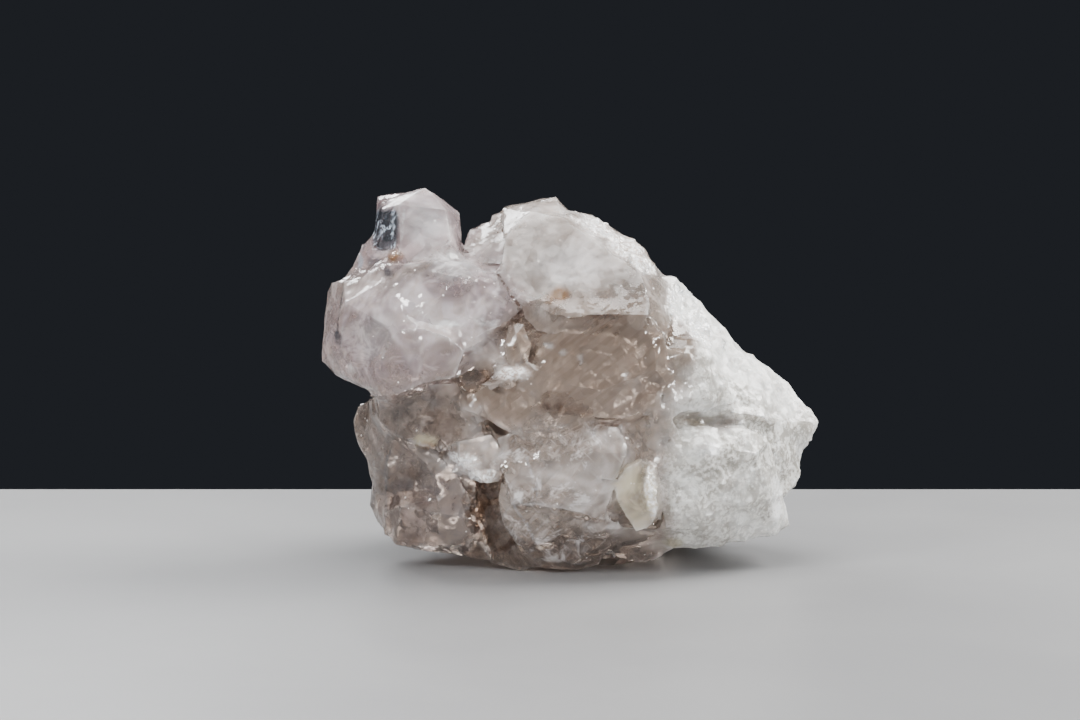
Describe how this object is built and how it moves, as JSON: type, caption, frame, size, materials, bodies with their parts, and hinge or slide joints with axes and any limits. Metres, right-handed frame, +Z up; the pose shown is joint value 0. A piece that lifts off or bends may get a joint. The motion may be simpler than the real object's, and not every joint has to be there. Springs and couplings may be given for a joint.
{
  "type": "smoky quartz skeletal crystal cluster",
  "caption": "Smoky quartz skeletal cluster: blocky lilac-grey points and a smoky window face grown on a milky broken root, resting on its broken foot.",
  "frame": {"origin": "middle of the bounding box in plan, at the surface the cluster rests on", "axes": "+X to the right, towards the milky root, along the longest side; +Y to the back; +Z up; the side with the smoky window face looks to -Y"},
  "size_m": [0.091, 0.0584, 0.0685],
  "materials": {
    "quartz": "natural quartz: glassy and smoky in the middle, milky white at the root, with veils and broken faces"
  },
  "bodies": {
    "root": {"quartz": "quartz"}
  },
  "joints": []
}
